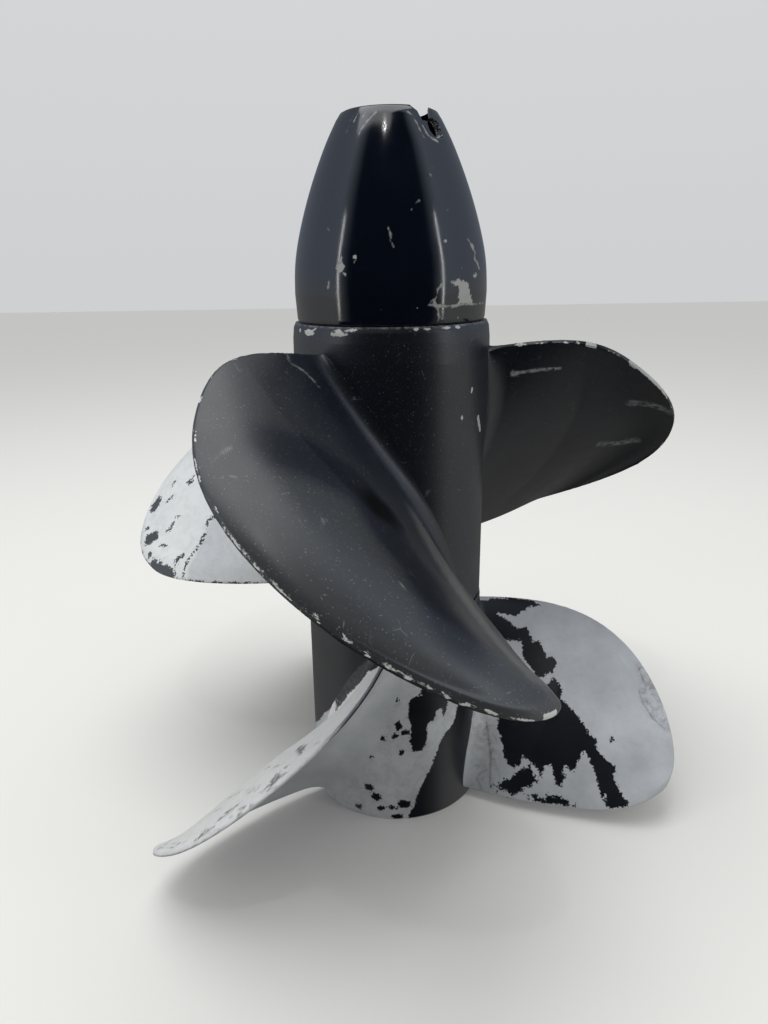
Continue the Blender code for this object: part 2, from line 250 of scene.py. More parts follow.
def painted_casting(name, paint_hex, paint_light_hex, metal_hex, metal_dark_hex, tear_mm, dust_share):
    """Sprayed satin enamel over sand-cast aluminium. The paint is a thin skin with a soft even gloss, fine dust and
    hair scratches. Where it has peeled, its torn edge stands a tenth of a millimetre over dull, pale, oxidised metal.

    The paint field says how far inside the skin a point is, in mm; noise with waves of 7 mm and 1.4 mm tears the
    edge. The graze field rubs the paint pale and the metal brown-grey, and on one blade also paints a highlight band.
    The soil field is soot, and also painted shade along one blade's edge and a painted dark reflection on another;
    it takes colour and gloss from both. Below nothing it is paint greyed evenly, which on one blade is painted light,
    paler outwards and in a painted highlight band, or metal rubbed white."""
    mat, add, sockets, place = new_material(name)
    paint, graze, soil = (add("Attribute", out="Fac", attribute_name=key) for key in ("paint", "graze", "soil"))
    noise = {}
    for key, (*shape, gain, shift) in CASTING_NOISE.items():
        noise[key] = add("Math", (add("TexNoise", waves(place, *shape)), gain, shift), **CLIPPED)
    skin = paint
    for *shape, reach in CASTING_TEARS:
        torn = add("TexNoise", waves(place, *shape))
        torn = add("Math", (torn, reach * tear_mm, -0.5 * reach * tear_mm), **SCALED)
        skin = add("Math", (skin, torn), operation="ADD")
    skin = add("Math", (skin, 5.0, 0.5), **CLIPPED)

    # Paint greyed here is also painted light on one blade: paler outwards, and a painted highlight band.
    faded_and_painted_light = add("Math", (soil, -1.0), **PRODUCT)
    bend = add("TexNoise", waves(place, 30.0), "Color")
    bend = add("VectorMath", (bend, (0.025, 0.025, 0.025), place), **SCALED)
    hairs = add("TexVoronoi", {"Vector": bend, "Scale": 1000.0 / 20.0}, "Distance", feature="DISTANCE_TO_EDGE")
    hairs = add("Math", (hairs, -70.0, 1.0), **CLIPPED)
    hairs = add("Math", (hairs, noise["hair_parts"]), operation="MULTIPLY")
    dust = add("Math", (noise["dust"], hairs), operation="MAXIMUM")
    dusted = add("Math", (faded_and_painted_light, 1.6 * dust_share, 0.3 * dust_share), **SCALED)
    dust = add("Math", (dust, dusted), **PRODUCT)
    # Where the rubbing runs along one blade's highlight band, its paler marks are a painted highlight.
    scored = add("Math", (noise["scored"], graze), **PRODUCT)
    tone = add("Mix", {0: noise["cloud"], 6: linear(paint_hex), 7: linear(paint_light_hex)}, **COLOURS)
    for share, code in ((dust, "#8f9294"), (scored, "#7d7e7f"), (faded_and_painted_light, "#50514f")):
        tone = add("Mix", {0: share, 6: tone, 7: linear(code)}, **COLOURS)

    bruise = add("Math", (noise["bruise"], graze), **PRODUCT)
    metal = add("Mix", {0: noise["mottle"], 6: linear(metal_hex), 7: linear(metal_dark_hex)}, **COLOURS)
    for share, code in ((noise["pits"], "#62625f"), (faded_and_painted_light, "#e9e9e6"), (bruise, "#787672")):
        metal = add("Mix", {0: share, 6: metal, 7: linear(code)}, **COLOURS)

    colour = add("Mix", {0: skin, 6: metal, 7: tone}, **COLOURS)
    # The near-black mix is soot, and also painted shade and a painted dark reflection.
    soot_and_shade = add("Math", (soil, 0.9), **PRODUCT)
    colour = add("Mix", {0: soot_and_shade, 6: colour, 7: linear("#08080a")}, **COLOURS)
    sheen = add("TexNoise", waves(place, 14.0, 5.0))
    sheen = add("Math", (sheen, 0.14, -0.22), **SCALED)
    rough = add("Math", (skin, sheen, 0.52), **SCALED)
    rough = add("Math", (soot_and_shade, 0.08, rough), **SCALED)
    bare_share = add("Math", (skin, -0.15, 0.15), **SCALED)
    metallic_share = add("Math", (soot_and_shade, 0.9, bare_share), **CLIPPED)
    grain = add("TexNoise", waves(place, 2.2, 3.0))
    height = add("Math", (grain, 0.35, skin), **SCALED)
    bump = add("Bump", {"Strength": 0.6, "Distance": 0.00012, "Height": height})
    feed(sockets, {"Base Color": colour, "Roughness": rough, "Metallic": metallic_share, "Normal": bump})
    return mat


LOWER_CASTING = painted_casting("peeled_black_enamel_on_aluminium", "#090c13", "#11151d", "#bec1c4", "#9a9da1",
                                2.0, 0.15)
FRONT_ISLAND = [(8.7, 87), (15.6, 89), (15.6, 94), (26, 91), (38, 82.5), (34, 79), (33, 72), (31, 68), (30, 77),
                (26, 76), (24, 69.5), (20, 68), (19.5, 60), (18, 52), (15, 49.5), (10, 50), (8, 56), (9, 69),
                (7.4, 76)]
RIGHT_BAND = [(43.5, 74.5), (42, 66.6), (39, 62), (32.5, 57.4), (28.7, 51.5), (24.4, 42.7), (23, 36.5), (19.5, 31),
              (15.5, 24), (13.5, 17), (11, 10), (7.6, 3), (7, -5), (80, -5), (80, 142), (47, 142)]
LEFT_FIELD = [(-7, 142), (-7, 111), (-10, 108), (-37.5, 80), (-67, 49), (-110, 20), (-110, -5), (-180, -5),
              (-180, 142)]
FRONT_SPOTS = [(-9.4, 60, 5, 3.5), (1.2, 68.2, 3.5, 5), (5.5, 63.7, 4, 3.5), (-29.2, 48.2, 2.5, 2.5),
               (-27.3, 38.5, 6, 3), (-18.7, 46, 5, 2.5), (-17.9, 22.5, 5, 3.5), (-13.4, 16, 6, 4.5), (4.5, 11.6, 7, 5),
               (0.2, 87, 3, 3), (-11.6, 78.8, 4, 2), (0, 1.8, 6, 4), (-0.7, 61.8, 3, 3), (3.5, 50.2, 3, 3),
               (-10.3, 8, 5, 2.5), (-26, 5.6, 4, 3), (-2.6, 8.7, 4, 2), (-11.7, 72.4, 3, 2)]
RIGHT_RUBS = [(3.5, [(62.9, 53.3), (63.7, 39.5)]), (3.5, [(62.8, 36.8), (63.2, 30.0)])]


def hub_places(points):
    """Where each point lies on the unrolled hub, in mm: along the girth from the front, and up the shaft."""
    turn = (np.degrees(np.arctan2(points[:, 1], points[:, 0])) - FRONT_DEG + 180.0) % 360.0 - 180.0
    return np.stack([np.radians(turn) * HUB_R, points[:, 2] / MM], -1)


def add_hub(name, outer, paint_on, mat, body, shell):
    """Turns a hub's wall, reads its paint off the unrolled hub, and adds it as one piece."""
    profile = shell_profile(outer, SHELL_BORE, HUB_RING_STEP)
    points = turned(profile, HUB_AROUND).reshape(-1, 3)
    fields = {key: np.clip(value, -FIELD_REACH, FIELD_REACH) for key, value in paint_on(hub_places(points)).items()}
    add_piece(name, points, wrap_faces(HUB_AROUND, len(profile), True, True), fields, mat, body, [shell])


def lower_hub_paint(at):
    """Black islands left on the bare front, painted sides, and more islands round the back."""
    black = np.maximum.reduce([most(patch, at, (FRONT_ISLAND, RIGHT_BAND, LEFT_FIELD)),
                               most(spot, at, FRONT_SPOTS) + 0.5,
                               islands(at, (85.0, 0.0), (180.0, 137.0), 22, 24.0, 5),
                               islands(at, (-180.0, 0.0), (-170.0, 137.0), 6, 20.0, 6)])
    paint = np.minimum(black, -most(stroke, at, RIGHT_RUBS))
    return {"paint": paint, "graze": np.where(paint > 0.0, 0.0, 0.3), "soil": np.zeros(len(at))}


add_hub("lower_hub_casting", LOWER_OUTER, lower_hub_paint, LOWER_CASTING, "lower_propeller",
        "lower_hub_shell")


# Lower blades
# Three right-handed blades cast in one with the hub, thin at the free edge and thick at the root, where a broad
# fillet runs them into the hub. The paint is nearly gone, and grit has bruised the edges.
LOWER_EDGE = [(56.0, 25.6, 118.9), (125.5, 14.6, 105.9), (164.1, 3.0, 80.4), (180.0, -9.5, 49.2),
              (177.0, -20.2, 28.0), (150.0, -25.0, 12.5), (118.0, -28.0, 9.0), (84.0, -31.5, 6.6),
              (56.0, -34.0, 5.6)]
LOWER_SECTION = {"edge_thick": 1.5, "nose": 0.0, "top_fillet": 10.0, "under_fillet": 18.0}
ROOT_THICK = 11.5
TIP_THICK = 3.6
CAMBER = 0.035
NOSE_INWARD = 9.0
NOSE_SPREAD = 7.0
SUNK = 0.35
SEAT_REACH = 34.0
SEAT_SHARE = 0.12
LAST_SHARE = 0.9993
ACROSS = 170
OUTWARD = 140
EDGE_CROWDING = 0.65
OUTLINE_SAMPLES = 600
BLADES_APART = 120.0
BARE_EDGE = 0.7
WORN_LINE = 0.5


def smooth_curve(stations, samples):
    """A natural cubic spline through evenly numbered stations, read at shares from 0 to 1: each span is the straight
    line between its ends plus a cubic share of the bend at either end, and the bends solve one set of equations."""
    pts = np.array(stations, float)
    n = len(pts)
    matrix = np.eye(n)
    target = np.zeros_like(pts)
    for i in range(1, n - 1):
        matrix[i, i - 1:i + 2] = (1.0, 4.0, 1.0)
        target[i] = 6.0 * (pts[i + 1] - 2.0 * pts[i] + pts[i - 1])
    bend = np.linalg.solve(matrix, target)
    t = np.clip(samples, 0.0, 1.0) * (n - 1)
    i = np.minimum(t.astype(int), n - 2)
    u = (t - i)[:, None]
    line = pts[i] * (1 - u) + pts[i + 1] * u
    return line + ((1 - u) ** 3 - (1 - u)) * bend[i] / 6.0 + (u ** 3 - u) * bend[i + 1] / 6.0


def from_shaft(r, degrees, z):
    """Points from a radius in mm, an angle round the shaft and a height in mm, in mm."""
    return np.stack([r * np.cos(np.radians(degrees)), r * np.sin(np.radians(degrees)), z], -1)


def across_normal(points):
    """Unit normals of a grid of points, upwards on the whole: the cross product of its two directions."""
    normal = np.cross(np.gradient(points, axis=0), np.gradient(points, axis=1))
    normal /= np.maximum(np.linalg.norm(normal, axis=-1, keepdims=True), 1e-12)
    return normal if normal[..., 2].mean() > 0 else -normal


def nearest_edge(points, edge):
    """Each point's distance in mm to the blade's free edge, and the share along that edge where it is nearest."""
    shares = np.linspace(0.0, 1.0, OUTLINE_SAMPLES)
    line = from_shaft(*smooth_curve(edge, shares).T)
    flat = points.reshape(-1, 3)
    found = [np.linalg.norm(part[:, None, :] - line[None, :, :], axis=-1) for part in np.array_split(flat, 40)]
    least = np.concatenate([gaps.min(axis=1) for gaps in found]).reshape(points.shape[:2])
    share = np.concatenate([shares[gaps.argmin(axis=1)] for gaps in found]).reshape(points.shape[:2])
    return least, share


def blade_sheets(edge, outer, edge_thick, nose, top_fillet, under_fillet):
    """Both faces of a blade, in mm, before it is turned to its place on the hub.

    The middle surface runs straight in radius, angle and height between two points that move out from the root
    along either free edge. It is bowed by a share of its width. Half the thickness is a quarter circle at the
    free edge, then grows with the bow. Near the hub a fillet adds its radius less the circle's drop, and points
    there keep their height over the hub's own curve, so the fillet ends flush with the hub. The nose is a bell
    curve of extra thickness on the upper face, in from the lower free edge."""
    t = np.linspace(0.0, 1.0, OUTWARD + 1)
    s = np.minimum(1.0 - (1.0 - t * t) ** 1.2, LAST_SHARE)
    u = np.linspace(0.0, 1.0, ACROSS + 1)
    u = u - EDGE_CROWDING * np.sin(2.0 * np.pi * u) / (2.0 * np.pi)
    upper, lower = smooth_curve(edge, 0.5 * s), smooth_curve(edge, 1.0 - 0.5 * s)
    grid = upper[:, None, :] * (1.0 - u)[None, :, None] + lower[:, None, :] * u[None, :, None]
    hub_z, hub_r = np.array(outer).T
    near = np.clip(1.0 - s / SEAT_SHARE, 0.0, 1.0)[:, None] ** 2
    seat = np.interp(grid[..., 2], hub_z, hub_r)
    r = grid[..., 0] + near * (seat - SUNK - grid[:1, :, 0])
    middle = from_shaft(r, grid[..., 1], grid[..., 2])
    width = np.linalg.norm(middle[:, -1] - middle[:, 0], axis=-1)
    bow = 4.0 * u * (1.0 - u)
    normal = across_normal(middle)
    lift = CAMBER * width[:, None] * bow[None, :] * np.minimum(1.0, 4.0 * s)[:, None]
    middle = middle + normal * lift[..., None]
    over_hub = r - seat
    gap, share = nearest_edge(middle, edge)
    tip = 0.5 * edge_thick
    body = ROOT_THICK + (TIP_THICK - ROOT_THICK) * s ** 0.8
    half = tip * np.sqrt(1.0 - (1.0 - np.clip(gap / tip, 0.0, 1.0)) ** 2)
    half = half + 0.5 * (body[:, None] - edge_thick) * (bow ** 0.7)[None, :]
    hold = np.clip(1.0 - over_hub / SEAT_REACH, 0.0, 1.0)
    hold = hold * hold * (3.0 - 2.0 * hold)
    inward = (1.0 - u)[None, :] * width[:, None]
    bulge = nose * np.exp(-((inward - NOSE_INWARD) / NOSE_SPREAD) ** 2) * (1.0 - np.exp(-gap / 3.0))
    bulge = bulge * np.minimum(1.0, 2.5 * s)[:, None]
    sheets = []
    for side, fillet in ((1.0, top_fillet), (-1.0, under_fillet)):
        drop = fillet - np.clip(over_hub, 0.0, fillet)
        flare = (fillet - np.sqrt(fillet ** 2 - drop ** 2)) * (bow ** 0.35)[None, :]
        sheet = middle + side * normal * (half + flare + bulge * (side > 0.0))[..., None]
        reach = np.hypot(sheet[..., 0], sheet[..., 1])
        wanted = np.interp(sheet[..., 2], hub_z, hub_r) + over_hub
        sheet[..., :2] *= ((1.0 - hold) + hold * wanted / reach)[..., None]
        sheets.append(sheet)
    return sheets[0], sheets[1], gap, share


def ring(top, under):
    """One closed loop a row: out along the top face and back along the under one, which share their edge points."""
    return np.concatenate([top, under[:, -2:0:-1]], axis=1)


def blade_faces(rows, across):
    """Quads over the rings, a strip that closes the root, and a fan of triangles that closes the tip."""
    loop = 2 * across
    quads = wrap_faces(rows, loop, False, True)
    k = np.arange(1, across - 1)
    root = np.stack([k, k + 1, loop - k - 1, loop - k], -1)
    last = (rows - 1) * loop
    j = np.arange(loop)
    fan = np.stack([last + (j + 1) % loop, last + j, np.full(loop, rows * loop)], -1)
    ends = np.array([(0, 1, loop - 1), (across - 1, across, across + 1)])
    return np.concatenate([quads, root]), np.concatenate([fan, ends])


def worn_edge(share, gap, width, seed):
    """How far the paint lies from a worn line just inside the free edge, in mm: the distance to the line and 0.6 more,
    less three widths times a wander along the edge, a sum of five seeded sine waves, where that is above nothing."""
    rng = np.random.default_rng(seed)
    wander = sum(np.sin(2.0 * np.pi * (rng.uniform(8, 60) * share + rng.uniform())) for _ in range(5)) / 5.0
    return np.abs(gap - WORN_LINE) + 0.6 - 3.0 * width * np.maximum(wander, 0.0)


def add_blade(name, edge, outer, section, degrees, paint_on, mat, body):
    """Builds one blade in its own frame, reads its paint there, and turns it to its place round the shaft."""
    top, under, gap, share = blade_sheets(edge, outer, **section)
    plan = ring(top, under)
    upside = ring(np.ones(top.shape[:2]), np.zeros(top.shape[:2]))
    points = plan.reshape(-1, 3)
    fields = paint_on(points[:, :2], upside.ravel() > 0.5, ring(gap, gap).ravel(), ring(share, share).ravel())
    turn = math.radians(degrees)
    spin = np.array([[math.cos(turn), math.sin(turn), 0.0], [-math.sin(turn), math.cos(turn), 0.0], [0.0, 0.0, 1.0]])
    points = (points @ spin) * MM
    points = np.concatenate([points, points[-2 * ACROSS:].mean(axis=0)[None, :]])
    fields = {key: np.append(np.clip(value, -FIELD_REACH, FIELD_REACH), value[-1]) for key, value in fields.items()}
    quads, triangles = blade_faces(OUTWARD + 1, ACROSS)
    add_piece(name + "_casting", points, quads, fields, mat, body, [name], triangles)


RIGHT_BLADE_BLACK = [
    [(50, 24), (60, 24), (73, 28), (90, 33), (102, 29), (94, 27), (84, 20), (71, 20), (77, 18), (84, 14), (90, 16),
     (93, 8), (99, 8), (102, -1), (106, 0), (108, -3), (105, -8), (95, -9), (89, -3), (86, 2), (86, 8), (68, 8),
     (50, 6)],
    [(89, -14), (99, -14), (105, -10), (110, -16), (108, -20), (115, -26), (128, -39), (127, -41), (134, -47),
     (138, -50), (136, -54), (143, -64), (138, -66), (130, -62), (131, -59), (127, -57), (125, -49), (120, -42),
     (116, -45), (113, -48), (108, -46), (105, -47), (107, -49), (105, -51), (101, -50), (99, -44), (94, -43),
     (93, -47), (91, -44), (86, -40), (82, -37), (79, -40), (74, -38), (70, -34), (70, -30), (67, -24), (70, -11)],
    [(62, -39), (72, -41), (86, -41), (90, -47), (84, -47), (74, -45)],
    [(84, -49), (91, -51), (99, -52), (109, -56), (104, -59), (90, -55)]]
RIGHT_BLADE_SPOTS = [(111, -58, 4, 2), (129, -58, 3, 4), (138, -39, 1.6, 1.0), (78, -16, 3, 2)]
RIGHT_BLADE_GRIME = [(1.0, [(161, -14), (162, -21), (167, -28), (173, -32)]),
                     (1.0, [(164, 1), (165, -5), (166, -10)]), (1.0, [(60, -20), (62, -30), (61, -38)])]
RIGHT_BLADE_RIM = [(163, 3), (161, -20), (166, -28), (180, -34), (180, 0)]
RIGHT_BLADE_SEAM = [(50, -14), (66, -14), (67, -40), (50, -40)]
LEFT_BLADE_RUBS = [[(153, 9), (148, 10), (143, 11), (138, 15), (143, 20), (148, 18), (152, 14)],
                   [(125, 11), (120, 11), (123, 16), (129, 19), (132, 19)],
                   [(166, -11), (161, -9), (158, -2), (163, -5)],
                   [(175, -23), (171, -20), (169, -16), (169, -10), (172, -14), (175, -18)]]
LEFT_BLADE_SCORES = 46
LEFT_BLADE_ROOT = [(40, -30), (56, -10), (58, -4), (58, 0), (59, 5), (60, 10), (58, 15), (60, 20), (63, 26), (60, 40),
                   (40, 40)]


def lower_paint_right(at, upside, gap, share):
    """Torn black bands and islands across the upper face, with a rubbed and dirty outer rim."""
    black = np.maximum(most(patch, at, RIGHT_BLADE_BLACK), most(spot, at, RIGHT_BLADE_SPOTS))
    below = islands(at, (60.0, -70.0), (170.0, 40.0), 16, 26.0, 61)
    rim = soft_share(patch(at, *RIGHT_BLADE_RIM), 6.0)
    seam = soft_share(patch(at, *RIGHT_BLADE_SEAM), 4.0)
    grime = soft_share(most(stroke, at, RIGHT_BLADE_GRIME), 1.0)
    rubbed = np.maximum.reduce([0.7 * rim, 0.5 * seam, grime]) + 0.12
    return {"paint": np.minimum(np.where(upside, black, below), gap - BARE_EDGE),
            "graze": np.where(upside, rubbed * (black < 0.0), 0.15), "soil": np.where(upside, 0.3 * grime, 0.0)}


def lower_paint_back(at, upside, gap, share):
    """Scattered islands on both faces."""
    black = np.where(upside, islands(at, (60.0, -70.0), (160.0, 40.0), 14, 26.0, 12),
                     islands(at, (60.0, -70.0), (170.0, 40.0), 12, 26.0, 62))
    return {"paint": np.minimum(black, gap - BARE_EDGE), "graze": 0.3 * (black < 0.0), "soil": np.zeros(len(at))}


def lower_paint_left(at, upside, gap, share):
    """Bare and whitish above but for the root, where grit has rubbed it in patches and scored it in short lines along
    its outer edge. The sharp edge between the faces is painted dark near the root, as painted shade."""
    black = np.where(upside, patch(at, *LEFT_BLADE_ROOT), islands(at, (90.0, -60.0), (160.0, -10.0), 5, 14.0, 63))
    rng = np.random.default_rng(31)
    scored = 2.2 * soft_share(most(patch, at, LEFT_BLADE_RUBS), 2.0)
    for _ in range(LEFT_BLADE_SCORES):
        far, turn, long = 178.0 - 60.0 * rng.uniform() ** 2, rng.uniform(-0.45, 0.25), rng.uniform(0.02, 0.09)
        arc = [(far * math.cos(a), far * math.sin(a)) for a in (turn, turn + 0.5 * long, turn + long)]
        line = soft_share(stroke(at, rng.uniform(0.8, 2.6), arc), 1.0)
        scored = np.maximum(scored, line * rng.uniform(0.4, 1.0))
    # The darkening along the edge near the root is painted shade on the edge's thickness.
    return {"paint": np.minimum(black, gap - BARE_EDGE), "graze": np.where(upside, scored + 0.12, 0.1),
            "soil": np.where(upside, -0.75, 0.0) * (black < 0.0)
            + 1.3 * np.clip(1.6 - gap, 0.0, 0.9) * np.clip((140.0 - np.hypot(at[:, 0], at[:, 1])) / 25.0, 0.2, 1.0)}


for number, paint_on in ((1, lower_paint_right), (2, lower_paint_back), (3, lower_paint_left)):
    add_blade(f"lower_blade_{number}", LOWER_EDGE, LOWER_OUTER, LOWER_SECTION, BLADES_APART * (number - 1), paint_on,
              LOWER_CASTING, "lower_propeller")


# Lower inner parts
# Inside the wall, three cast ribs hold an inner hub. A rubber bush pressed into it grips the splined brass sleeve
# that slides over the shaft, and lets the blades slip if they strike something.

# Moulded rubber is near black and dull, with a faint grey bloom in patches of about 8 mm.
rubber, add, sockets, place = new_material("moulded_rubber")
bloom = add("TexNoise", waves(place, 8.0, 4.0))
bloom = add("Mix", {0: bloom, 6: linear("#0d0d0e"), 7: linear("#242424")}, **COLOURS)
feed(sockets, {"Base Color": bloom, "Roughness": 0.8})

# Machined brass is a warm yellow metal; handling and salt leave brown clouds about 12 mm wide that dull it.
brass, add, sockets, place = new_material("machined_brass")
tarnish = add("TexNoise", waves(place, 12.0, 5.0))
dulled = add("Math", (tarnish, 0.5, 0.1), **SCALED)
tarnish = add("Mix", {0: tarnish, 6: linear("#b08f52"), 7: linear("#6b5433")}, **COLOURS)
feed(sockets, {"Base Color": tarnish, "Roughness": dulled, "Metallic": 1.0})


def dress_inner_parts(propeller, casting):
    """Gives the nodes inside one hub their materials; their shapes are the CAD's own."""
    for part, mat in (("inner_hub", casting), ("rib_1", casting), ("rib_2", casting), ("rib_3", casting),
                      ("rubber_bush", rubber), ("splined_sleeve", brass)):
        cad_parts[f"{propeller}_{part}"].data.materials[0] = mat


dress_inner_parts("lower", LOWER_CASTING)


# Upper hub
# The upper casting's outer wall swells a little towards its upper end, where the cone sits in a shallow step.
# Its paint is whole but for chips knocked off the rim and the seams.
UPPER_OUTER = [(137.7, 54.2), (139.0, 54.9), (180.0, 55.2), (222.0, 55.4), (262.0, 56.6), (287.0, 57.6),
               (298.0, 57.4), (304.0, 56.8), (306.7, 55.6)]
UPPER_CASTING = painted_casting("satin_black_enamel_on_aluminium", "#090d16", "#11161f", "#b4b5b2", "#8f908e",
                                0.6, 0.6)
RIM_CHIPS = [(-50.2, 303.2, 9.5, 3.2), (-45.2, 304.8, 3, 1.6), (-28.5, 303.2, 11, 2.4), (-28.8, 304.8, 5, 2),
             (-20.5, 305.4, 6, 1.8), (19, 305.5, 4.6, 1.6), (30.2, 305.6, 5, 1.5), (37.8, 305.6, 3.5, 1.8),
             (12.8, 305.8, 2.5, 1.5), (-61, 303.6, 3, 2), (41.8, 256, 1.8, 3), (49.6, 270.7, 1.8, 3),
             (56, 139.6, 6, 2.2), (47, 138.8, 4, 1.8)]
SIDE_KNOCK = [(58.4, 254.0), (60.4, 249.6), (62.6, 245.6)]
RIM_WEAR_AND_HIGHLIGHT_Z = 305.9


def upper_hub_paint(at):
    """Chips along the rim under the cone, a knock on the right side, and seeded chips round the back. The rim's top
    edge is rubbed pale, partly wear and partly a painted highlight.
    """
    bare = np.maximum.reduce([most(spot, at, RIM_CHIPS), stroke(at, 2.6, SIDE_KNOCK),
                              islands(at, (75.0, 301.0), (170.0, 306.0), 14, 3.2, 8),
                              islands(at, (-170.0, 302.0), (-80.0, 306.0), 10, 3.0, 9),
                              islands(at, (90.0, 150.0), (180.0, 290.0), 8, 3.0, 10)])
    # The pale rim above this height is partly wear and partly a painted highlight.
    return {"paint": -bare, "graze": np.where(at[:, 1] > RIM_WEAR_AND_HIGHLIGHT_Z, 0.7, 0.0), "soil": np.zeros(len(at))}


add_hub("upper_hub_casting", UPPER_OUTER, upper_hub_paint, UPPER_CASTING, "upper_propeller",
        "upper_hub_shell")


# Upper blades
# Three left-handed blades, cast in one with the upper hub and larger than the lower ones. Use has worn each outer
# corner to a shape of its own. Two keep their satin black paint, thin at the edges, and one is stripped above.
UPPER_EDGE_HIGH = [(56.0, 226.5, 291.3), (108.5, 226.0, 295.1), (142.7, 231.5, 279.1), (174.4, 243.1, 246.8),
                   (194.3, 264.0, 198.5)]
UPPER_CORNERS = [[(194.2, 284.3, 159.0), (181.7, 293.5, 151.7)],
                 [(197.9, 285.7, 159.0), (181.8, 291.2, 151.6)],
                 [(186.5, 283.7, 159.0), (167.4, 292.2, 144.6)]]
UPPER_EDGE_LOW = [(137.5, 298.7, 141.9), (56.0, 311.2, 146.8)]
UPPER_SECTION = {"edge_thick": 2.4, "nose": 1.5, "top_fillet": 9.0, "under_fillet": 12.0}
FRONT_EDGE_CHIPS = [(1.0, [(-88, -111), (-88, -113)]), (1.5, [(-86, -129), (-86, -133)]),
                    (0.7, [(-85, -141), (-81, -151)]), (1.5, [(-73, -161), (-72, -162)]),
                    (0.4, [(-70, -166), (-58, -177), (-40, -187)]), (1.0, [(-35, -186.5), (-34.5, -187)]),
                    (1.2, [(-31, -189.5), (-30, -190)]), (0.7, [(-19.5, -193.8), (-17, -194.2)]),
                    (0.6, [(-11, -195), (-10, -195)]), (0.5, [(-6, -195), (1, -196)]), (0.8, [(4, -196), (5, -196)]),
                    (0.6, [(10, -196), (14, -196)]), (0.8, [(19, -195), (21, -195)]), (0.6, [(27, -194), (31, -193)]),
                    (0.7, [(37, -192), (40, -191)]), (0.5, [(46, -190), (51, -188), (58, -184)]),
                    (2.0, [(66, -174), (68, -177), (66, -180), (63, -182)]), (1.1, [(-77, -84), (-76, -83)]),
                    (0.8, [(-66, -71), (-65, -70)]), (0.8, [(-56, -59), (-53, -56)])]
FRONT_SCRATCHES = [(1.2, [(-55, -58), (-52, -63), (-45, -61), (-38, -62)]),
                   (1.2, [(-78, -143), (-75, -140), (-70, -136)]),
                   (1.2, [(-31, -161), (-31, -159), (-30, -156), (-28, -155)]), (1.2, [(3, -167), (4, -169)])]
# A painted dark reflection in a patch and its trail, and a painted highlight band along the root side.
FRONT_DARK_REFLECTION = [(-16, -114), (-12, -102), (-2, -101), (3, -107), (1, -117), (-5, -122), (-9, -124), (-13, -121)]
DARK_REFLECTION_TRAIL = [(-55, -128), (-41, -122), (-29, -117), (-16, -112), (-4, -124), (3, -136), (12, -144), (19, -161),
                (25, -174)]
PAINTED_HIGHLIGHT_BAND = [(18, -70), (23, -86), (28, -100), (37, -118), (50, -140), (62, -164)]
UNDER_EDGE_CHIPS = [(0.5, [(-55, -56), (-54, -55)]), (0.5, [(-60, -61), (-59, -60)]), (0.9, [(-71, -72), (-70, -71)]),
                    (0.7, [(-75, -77), (-74, -76)]), (1.8, [(-78, -81), (-80, -84)]),
                    (1.7, [(-88, -105), (-88, -108)]),
                    (0.6, [(-84, -90), (-88, -100), (-89, -118), (-89, -129), (-86, -140)])]
UNDER_SCRATCHES = [(2.4, [(-43, -57), (-44, -59)]), (1.4, [(-45, -60), (-52, -69), (-59, -79)])]
UNDER_RUBS = [(6.0, [(-18, -157), (-20, -166), (-24, -172), (-33, -175)]),
              (6.0, [(-63, -135), (-70, -142), (-79, -151)])]
BARE_BLADE_BLACK = [[(55, -168), (50, -170), (46, -163), (51, -158), (56, -163)],
                    [(62, -154), (63, -146), (64, -136), (66, -128), (69, -130), (68, -145), (66, -156)],
                    [(23, -184), (27, -176), (35, -177), (34, -183), (28, -185)]]
BARE_BLADE_CRACK = [(30, -112), (38, -117), (40, -121), (45, -118), (53, -120), (60, -123), (67, -122)]
BARE_BLADE_SCRAPS = ((15.0, -190.0), (66.0, -150.0), 8, 3.4, 71)
BARE_BLADE_FROM_R = 80.0
BARE_BLADE_SPOTS = [(59, -128, 3, 3), (61, -131, 3, 5), (46, -174, 3, 3), (60, -158, 3, 3), (39, -149, 1.5, 5)]


def edge_bites(at, gap, bites):
    """Bare metal, in mm: near a line drawn along the edge, and no further in than the bite's own depth."""
    return np.maximum.reduce([np.minimum(stroke(at, depth + 0.5, stops), depth - gap) for depth, stops in bites])


def soft_stroke(at, width, stops):
    """1 along a line, falling to 0 at half the width away in a smooth step, 3x² - 2x³."""
    x = np.clip(stroke(at, width, stops) / (0.5 * width), 0.0, 1.0)
    return x * x * (3.0 - 2.0 * x)


